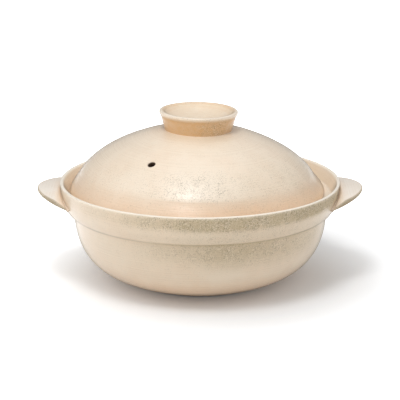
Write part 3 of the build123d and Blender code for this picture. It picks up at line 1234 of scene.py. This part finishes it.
@dataclass
class Lid:
    """The loose lid: a thin dome that steepens to a flange, its steam vent and its ring knob."""

    dome_finish: bpy.types.Material
    knob_finish: bpy.types.Material
    flange_height: float = 0.0202
    flange_taper: float = 0.0108
    flange: float = 0.007
    crown_share: float = 0.36
    shoulder_slope: float = -54
    shoulder_share: float = 0.28
    shoulder_break: float = 7.0
    shoulder_round: float = 0.0022
    flange_leave_share: float = 0.40
    flange_arrive_share: float = 0.30
    thickness: float = 0.0065
    edge_height: float = 0.002
    edge_soft: float = 0.0014
    vent_diameter: float = 0.0066
    vent_mouth: float = 0.0007
    vent_distance: float = 0.0777
    vent_bearing: float = -121.3
    vent_overrun: float = 0.004
    vent_clear: float = 0.0003
    vent_turn: float = 0.0004
    vent_sides: int = 40
    vent_line_step: float = 0.0005
    sharp_angle: float = radians(50)
    knob_base_radius: float = 0.0305
    knob_neck_radius: float = 0.0342
    knob_rim_height: float = 0.0054
    knob_rim_flare_height: float = 0.0026
    knob_rim_width: float = 0.004
    knob_dish_depth: float = 0.0085
    knob_foot_flare: float = 0.0011
    knob_sunk: float = 0.006
    knob_base_sunk: float = 0.0038
    knob_base_inset: float = 0.001
    knob_base_drop: float = 0.0006
    knob_foot: Span = (0.0004, 0.0016)
    knob_foot_angle: float = 135
    knob_wall_angle: float = 76
    knob_neck_soft: float = 0.0012
    knob_step_soft: float = 0.0010
    knob_rim_soft: float = 0.0017
    knob_dish_leave: Handle = (240, 0.45)
    knob_dish_arrive: Handle = (180, 0.62)
    tilt: float = 0.0192
    headroom: float = 0.00078
    unevenness: float = 0.0002
    still_rim: float = 0.004
    # The glaze: bearings in degrees, radii, and distances from the shoulder, the neck or the rim.
    front_sweep: Span = (-92, 34)
    right_sweep: Span = (-30, 80)
    blush_and_shade_sweep: Span = (-62, 75)
    belt_radii: Span = (0.074, 0.094)
    flange_fade: Span = (0.0015, -0.003)
    blush_fade: Span = (0.006, -0.009)
    shoulder_blend: float = 0.001
    crown_ash: Span = (0.036, 0.008)
    right_ash_radii: Span = (0.06, 0.09)
    bore_share: float = 0.53
    bore_bare_and_shade: Span = (-0.0004, -0.0012)
    seating_fade: float = 0.0006
    knob_wall_radii: Span = (0.026, 0.029)
    knob_wall_fade: float = 0.003
    knob_rim_radii: Span = (0.029, 0.032)
    knob_rim_fade: Span = (0.001, 0.004)
    knob_right_sweep: Span = (-60, 60)
    knob_lip_highlight_reach: float = 0.0028
    knob_lip_highlight_fade: Span = (0.002, -0.001)
    # The meshes.
    dome_step: float = 0.0015
    dome_sides: int = 224
    knob_step: float = 0.0007
    knob_sides: int = 160
    centre_x: float = field(init=False)
    radius: float = field(init=False)
    low_z: float = field(init=False)
    crown_z: float = field(init=False)
    knob_radius: float = field(init=False)
    knob_top_z: float = field(init=False)
    vent_mouth_at: np.ndarray = field(init=False)
    vent_outward: np.ndarray = field(init=False)

    def __post_init__(self) -> None:
        """Takes the dome's and the knob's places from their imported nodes."""
        low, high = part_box("lid_dome")
        self.centre_x = (low.x + high.x) / 2
        self.radius = (high.x - low.x) / 2 - self.unevenness / 10
        self.low_z, self.crown_z = low.z, high.z
        low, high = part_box("lid_knob")
        self.knob_radius = (high.x - low.x) / 2
        self.knob_top_z = high.z - self.headroom

    def dome_section(self) -> Section:
        """Draws the dome's half section, from the crown out, round the rim and back inside.

        Returns:
            The section.
        """
        shoulder = np.array((self.radius - self.flange_taper, self.low_z + self.flange_height))
        inner = shoulder + self.thickness * heading(self.shoulder_slope - 90)
        under_crown = self.crown_z - self.thickness
        inwards = self.shoulder_slope + 180
        flange_leave = self.flange_leave_share * self.flange_height
        flange_arrive = self.flange_arrive_share * self.flange_height
        section = Section((0, self.crown_z))
        section.bend(
            (0, self.crown_share * shoulder[0]), *shoulder,
            (self.shoulder_slope, self.shoulder_share * shoulder[0]), soft=self.shoulder_round,
        )
        section.bend(
            (self.shoulder_slope - self.shoulder_break, flange_leave),
            self.radius, self.low_z + self.edge_height, (-90, flange_arrive),
        )
        section.line(self.radius, self.low_z, soft=self.edge_soft)
        section.line(self.radius - self.flange, self.low_z, soft=self.edge_soft)
        section.bend((90, flange_arrive), *inner, (inwards, flange_leave))
        return section.bend(
            (inwards, self.shoulder_share * inner[0]), 0, under_crown, (180, self.crown_share * inner[0]),
        )

    def knob_section(self) -> Section:
        """Draws the knob's half section, from inside the dome out, up and into its dish.

        Returns:
            The section.
        """
        neck_z = self.knob_top_z - self.knob_rim_height
        sunk_z = self.crown_z - self.knob_sunk
        base_z = self.crown_z - self.knob_base_sunk
        dish_radius = self.knob_radius - self.knob_rim_width
        section = Section((0, sunk_z)).line(self.knob_base_radius - self.knob_base_inset, sunk_z)
        section.line(self.knob_base_radius + self.knob_foot_flare, base_z - self.knob_base_drop)
        section.bend(
            (self.knob_foot_angle, self.knob_foot_flare),
            self.knob_base_radius + self.knob_foot[0], base_z + self.knob_foot[1],
            (self.knob_wall_angle, self.knob_foot_flare),
        )
        section.line(self.knob_neck_radius, neck_z, soft=self.knob_neck_soft)
        section.line(self.knob_radius, neck_z + self.knob_rim_flare_height, soft=self.knob_step_soft)
        section.line(self.knob_radius, self.knob_top_z, soft=self.knob_rim_soft)
        section.line(dish_radius, self.knob_top_z, soft=self.knob_rim_soft)
        return section.bend(
            handle(self.knob_dish_leave, self.knob_dish_depth), 0, self.knob_top_z - self.knob_dish_depth,
            handle(self.knob_dish_arrive, dish_radius),
        )

    def _leaned(self, points: np.ndarray) -> np.ndarray:
        """Leans the lid as it dried: level at the rim, lower to the right above it.

        Args:
            points: The vertices of the dome or the knob.

        Returns:
            The leaned vertices.
        """
        share = smooth(0, 1, (points[:, 2] - self.low_z) / self.flange_height)
        leaned = points.copy()
        leaned[:, 2] -= self.tilt * (points[:, 0] - self.centre_x) * share
        leaned[:, 0] += self.tilt * (points[:, 2] - self.low_z) * share
        return leaned

    def build(self) -> list[bpy.types.Object]:
        """Makes and glazes the dome and the knob, and returns them."""
        return [self._build_dome(), self._build_knob()]

    def _build_dome(self) -> bpy.types.Object:
        """Makes the dome, drills its vent and glazes it.

        Returns:
            The dome's piece.
        """
        form = ThrownSurface(
            "donabe_lid", self.dome_section(), self.centre_x, self.dome_step, self.dome_sides,
        )
        self._drill_vent(form.piece)
        places = form.places()
        self._glaze_dome(form, places)
        free = smooth(0, self.still_rim, places.height - self.low_z)
        depth = self.unevenness * thrown_depth(21, 6, 14.0, places) * free
        move_vertices(form.piece, self._leaned(form.moved(places, depth)))
        form.piece.data.materials.append(self.dome_finish)
        seat(form.piece, "lid_dome", "lid")
        return form.piece

    def _drill_vent(self, dome: bpy.types.Object) -> None:
        """Cuts the steam vent square to the dome, with a rounded mouth on both faces.

        Args:
            dome: The dome's piece.
        """
        line = self.dome_section().outline(self.vent_line_step)
        line = line[:len(line) // 2]
        at = int(np.abs(line[:, 0] - self.vent_distance).argmin())
        slope = line[at + 3] - line[at - 3]
        lean = atan(-slope[1] / slope[0])
        turn = radians(self.vent_bearing)
        outward = Vector((sin(lean) * cos(turn), sin(lean) * sin(turn), cos(lean)))
        mouth = Vector((self.centre_x + line[at][0] * cos(turn), line[at][0] * sin(turn), line[at][1]))
        self.vent_mouth_at, self.vent_outward = np.array(mouth), np.array(outward)
        bore, soft, under = self.vent_diameter / 2, self.vent_mouth, -self.thickness
        rows = (
            (self.vent_overrun, bore + 3 * soft),
            (self.vent_clear, bore + soft),
            (-self.vent_turn, bore + 0.4 * soft),
            (-1.6 * soft, bore),
            (under + 1.6 * soft, bore),
            (under + 0.4 * soft, bore + 0.4 * soft),
            (under - self.vent_clear, bore + soft),
            (under - self.vent_overrun, bore + 3 * soft),
        )
        turns = [2 * pi * side / self.vent_sides for side in range(self.vent_sides)]
        points = [(reach * cos(a), reach * sin(a), height) for height, reach in rows for a in turns]
        faces = [tuple(range(self.vent_sides)), tuple(range(len(points) - self.vent_sides, len(points)))]
        faces += joined_rings(len(rows), self.vent_sides)
        mesh = closed_mesh("vent_cutter", points, faces)
        mesh.transform(Matrix.Translation(mouth) @ outward.to_track_quat("Z", "Y").to_matrix().to_4x4())
        cutter = _placed("vent_cutter", mesh)
        cut = dome.modifiers.new("vent", "BOOLEAN")
        cut.operation, cut.solver, cut.object = "DIFFERENCE", "EXACT", cutter
        depsgraph = bpy.context.evaluated_depsgraph_get()
        drilled = bpy.data.meshes.new_from_object(dome.evaluated_get(depsgraph))
        dome.modifiers.clear()
        dome.data = drilled
        bpy.data.objects.remove(cutter)
        drilled.shade_smooth()
        drilled.set_sharp_from_angle(angle=self.sharp_angle)

    def _glaze_dome(self, form: ThrownSurface, places: Places) -> None:
        """Paints the dome's ash, blush and grain, a painted highlight on its front belt, painted shade
        deepening the flange's blush at the front, and painted shade in the vent's bore.

        Args:
            form: The dome's surface.
            places: Where its vertices lie.
        """
        rim_run = form.run_at(self.radius, self.low_z)
        blend = self.shoulder_blend
        outside = smooth(rim_run + blend, rim_run - blend, places.run)
        bearing, z, radius = places.bearing, places.height, places.radius
        shoulder_z = self.low_z + self.flange_height
        front = bearing_hump(*self.front_sweep, bearing)
        right = bearing_hump(*self.right_sweep, bearing)
        belt = smooth(*self.belt_radii, radius) * smooth(shoulder_z - blend, shoulder_z + blend, z)
        flange = smooth(shoulder_z + self.flange_fade[0], shoulder_z + self.flange_fade[1], z)
        grain = 0.10 + 0.5 * front * belt + 0.22 * belt + 0.16 * flange + 0.18 * right
        # The flange's peach glaze deepens towards the front-right, partly its tone and partly painted
        # shade on the steep, dimly lit band.
        soft_flange = smooth(shoulder_z + self.blush_fade[0], shoulder_z + self.blush_fade[1], z)
        blush = 0.06 + soft_flange * (0.40 + 0.40 * bearing_hump(*self.blush_and_shade_sweep, bearing))
        right_ash = 0.10 * right * smooth(*self.right_ash_radii, radius)
        ash = 0.03 + 0.10 * hump(*self.crown_ash, radius) + right_ash
        # Painted shade: the vent's bore is painted as dark clay, standing in for the shade inside the
        # hole.
        inwards = (places.points - self.vent_mouth_at) @ self.vent_outward
        off_axis = places.points - self.vent_mouth_at - inwards[:, None] * self.vent_outward
        near_vent = np.sqrt((off_axis ** 2).sum(axis=1)) < self.vent_diameter * self.bore_share
        bore = near_vent * smooth(*self.bore_bare_and_shade, inwards)
        paint(form.piece, "ash", ash * outside)
        paint(form.piece, "blush", np.clip(blush, 0, 1) * outside + 0.5 * (1 - outside))
        # Painted highlight: the front of the shoulder belt is drawn paler where the key light's reflection
        # lies.
        paint(form.piece, "pale", 0.35 * front * belt * outside)
        paint(form.piece, "grain", np.clip(grain, 0, 1) * outside + 0.1 * (1 - outside))
        seating = smooth(self.low_z + self.seating_fade, self.low_z, z) * (radius < self.radius - blend)
        paint(form.piece, "bare_and_shade", np.maximum(seating, bore))
        paint(form.piece, "run", places.run)

    def _build_knob(self) -> bpy.types.Object:
        """Makes and glazes the knob on the dome's crown, with a painted highlight on its lip.

        Returns:
            The knob's piece.
        """
        form = ThrownSurface(
            "donabe_knob", self.knob_section(), self.centre_x, self.knob_step, self.knob_sides,
        )
        places = form.places()
        bearing, z, radius = places.bearing, places.height, places.radius
        neck_z = self.knob_top_z - self.knob_rim_height
        wall = smooth(neck_z + self.knob_wall_fade, neck_z, z) * smooth(*self.knob_wall_radii, radius)
        rim = smooth(neck_z + self.knob_rim_fade[0], neck_z + self.knob_rim_fade[1], z)
        rim = rim * smooth(*self.knob_rim_radii, radius)
        right = bearing_hump(*self.knob_right_sweep, bearing)
        # Painted highlight: the knob's lip is drawn paler all round, as the bright line the light draws
        # along it.
        lip = hump(self.knob_radius + self.knob_lip_highlight_fade[1], self.knob_lip_highlight_reach, radius)
        lip = lip * smooth(neck_z + self.knob_lip_highlight_fade[0], self.knob_top_z + self.knob_lip_highlight_fade[1], z)
        paint(form.piece, "ash", 0.12 * wall * right)
        paint(form.piece, "blush", 0.10 + 0.25 * rim + 0.75 * wall)
        paint(form.piece, "pale", 0.7 * lip)
        paint(form.piece, "grain", np.clip(0.05 + wall * (0.10 + 0.6 * right) + 0.3 * rim, 0, 1))
        paint(form.piece, "bare_and_shade", radius * 0)
        paint(form.piece, "run", places.run)
        sway = Wander(31, waves=10, per_turn=5, per_metre=20.0).at(bearing, places.run)
        depth = self.unevenness * (sway - 1) * smooth(self.crown_z, neck_z, z)
        move_vertices(form.piece, self._leaned(form.moved(places, depth)))
        form.piece.data.materials.append(self.knob_finish)
        seat(form.piece, "lid_knob", "lid")
        return form.piece


@dataclass(frozen=True)
class SoftBox:
    """A square soft box that hangs at a bearing and an elevation, and faces the pot."""

    name: str
    bearing: float
    elevation: float
    width: float
    power: float
    distance: float = 1.5

    def hang(self, aim: Vector) -> None:
        """Hangs the box.

        Args:
            aim: The point that it faces.
        """
        lamp = bpy.data.lights.new(self.name, "AREA")
        lamp.shape = "SQUARE"
        lamp.size = self.width
        lamp.energy = self.power
        box = bpy.data.objects.new(self.name, lamp)
        bpy.context.scene.collection.objects.link(box)
        turn, lift = radians(self.bearing), radians(self.elevation)
        way = Vector((cos(lift) * cos(turn), cos(lift) * sin(turn), sin(lift)))
        box.location = aim + self.distance * way
        box.rotation_euler = way.to_track_quat("Z", "Y").to_euler()


@dataclass
class Studio:
    """The pale floor, the soft lights and the camera."""

    floor_reach: float = 8.0
    floor_colour: float = 0.80
    floor_seen: Colour = (0.85, 0.862, 0.878)
    shadow_reach: float = 0.10
    white_reach: float = 0.35
    near_glow: float = 0.055
    shade_centre: tuple[float, float, float] = (0.035, 0.02, 0.0)
    shade_squeeze: float = 1.22
    ambient: float = 0.30
    aim: tuple[float, float, float] = (0.0, 0.0, 0.06)
    lens: float = 138.03
    sensor: float = 36.0
    distance: float = 1.4141
    aim_height: float = 0.07219
    elevation: float = 16.12

    def build(self) -> None:
        """Sets up everything that isn't the object."""
        self._floor()
        self._world()
        boxes = (
            SoftBox("key", 256, 66, 0.34, 6.3),
            SoftBox("overhead", 90, 84, 1.5, 4.9),
            SoftBox("back", 75, 50, 1.6, 2.4),
            SoftBox("front", 275, 32, 1.8, 4.5),
            SoftBox("left", 200, 25, 1.9, 7.6),
            SoftBox("right", 0, 25, 1.2, 2.8),
        )
        for box in boxes:
            box.hang(Vector(self.aim))
        self._camera()
        bpy.context.scene.view_settings.view_transform = "Standard"

    def _floor(self) -> None:
        """Makes the floor, which keeps the pot's shadow and goes white to the camera away from it."""
        reach = self.floor_reach
        corners = [(-reach, -reach, 0), (reach, -reach, 0), (reach, reach, 0), (-reach, reach, 0)]
        mesh = bpy.data.meshes.new("floor")
        mesh.from_pydata(corners, [], [(0, 1, 2, 3)])
        floor = _placed("floor", mesh)
        material = bpy.data.materials.new("studio_floor")
        material.use_nodes = True
        material.node_tree.nodes.clear()
        graph = Graph(material.node_tree)
        path = graph.add("ShaderNodeLightPath")
        seen = graph.math("MAXIMUM", path.outputs["Is Camera Ray"], path.outputs["Is Glossy Ray"])
        seen = graph.math("MAXIMUM", seen, path.outputs["Is Transmission Ray"])
        plain, bright = (*[self.floor_colour] * 3, 1), (*self.floor_seen, 1)
        diffuse = graph.feed(graph.add("ShaderNodeBsdfDiffuse"), Color=graph.mix(seen, plain, bright))
        # Painted light: the camera-only glow rises away from an off-centre, squeezed spot under the pot,
        # so it shapes how far and how dark the shadow shows on each side.
        where = graph.add("ShaderNodeTexCoord").outputs["Object"]
        squeezed = graph.add("ShaderNodeVectorMath", operation="MULTIPLY")
        graph.feed(squeezed, i0=where, i1=(self.shade_squeeze, 1.0, 1.0))
        away = graph.add("ShaderNodeVectorMath", operation="DISTANCE")
        graph.feed(away, i0=squeezed.outputs["Vector"], i1=self.shade_centre)
        glow = graph.ramp(away.outputs["Value"], self.shadow_reach, self.white_reach, self.near_glow, 1.0)
        light = graph.add("ShaderNodeEmission")
        graph.feed(light, Strength=graph.math("MULTIPLY", seen, glow))
        both = graph.feed(graph.add("ShaderNodeAddShader"), i0=diffuse.outputs[0], i1=light.outputs[0])
        graph.feed(graph.add("ShaderNodeOutputMaterial"), Surface=both.outputs[0])
        mesh.materials.append(material)

    def _world(self) -> None:
        """Makes a world that is white to the camera and a soft grey light to the object."""
        world = bpy.data.worlds.new("studio")
        bpy.context.scene.world = world
        world.use_nodes = True
        world.node_tree.nodes.clear()
        graph = Graph(world.node_tree)
        path = graph.add("ShaderNodeLightPath")
        strength = graph.ramp(path.outputs["Is Camera Ray"], 0, 1, self.ambient, 1.0)
        back = graph.feed(graph.add("ShaderNodeBackground"), Color=(1, 1, 1, 1), Strength=strength)
        graph.feed(graph.add("ShaderNodeOutputWorld"), Surface=back.outputs[0])

    def _camera(self) -> None:
        """Places the camera at the photograph's angle."""
        camera = bpy.data.cameras.new("camera")
        camera.lens, camera.sensor_width = self.lens, self.sensor
        eye = bpy.data.objects.new("camera", camera)
        bpy.context.scene.collection.objects.link(eye)
        lift = radians(self.elevation)
        eye.location = (0, -self.distance * cos(lift), self.aim_height + self.distance * sin(lift))
        eye.rotation_euler = (pi / 2 - lift, 0, 0)
        bpy.context.scene.camera = eye


def main() -> None:
    """Builds the donabe piece by piece, then the studio round it."""
    logging.basicConfig(level=logging.INFO, format="%(name)s %(message)s")
    effects = GlazeEffects()
    pot_finish = GlazeFinish("pot_ash_glaze").material(effects)
    # The ears' glaze has a paler cream and a darker ash, which paint light on their tops and shade on
    # their edges and undersides.
    ear_finish = GlazeFinish(
        "ear_ash_glaze", cream=srgb(255, 246, 235), ash=srgb(170, 153, 123), edge_on_painted_shade=0.3,
        ring_relief=0.00004,
    ).material(effects)
    # The lid's clay is a dark brown, which paints the shade inside the vent's bore.
    lid_finish = GlazeFinish(
        "lid_ash_glaze", cream=srgb(245, 229, 208), blush=srgb(234, 198, 163), clay=srgb(70, 48, 34),
    ).material(effects)
    knob_finish = GlazeFinish("knob_ash_glaze", blush=srgb(222, 170, 106)).material(effects)
    pot = PotBody(pot_finish)
    pieces = [pot.build()]
    pieces += [Ear(side, ear_finish, pot).build() for side in Side]
    pieces += Lid(lid_finish, knob_finish).build()
    Studio().build()
    log.info("%d pieces", len(pieces))


if __name__ == "__main__":
    main()
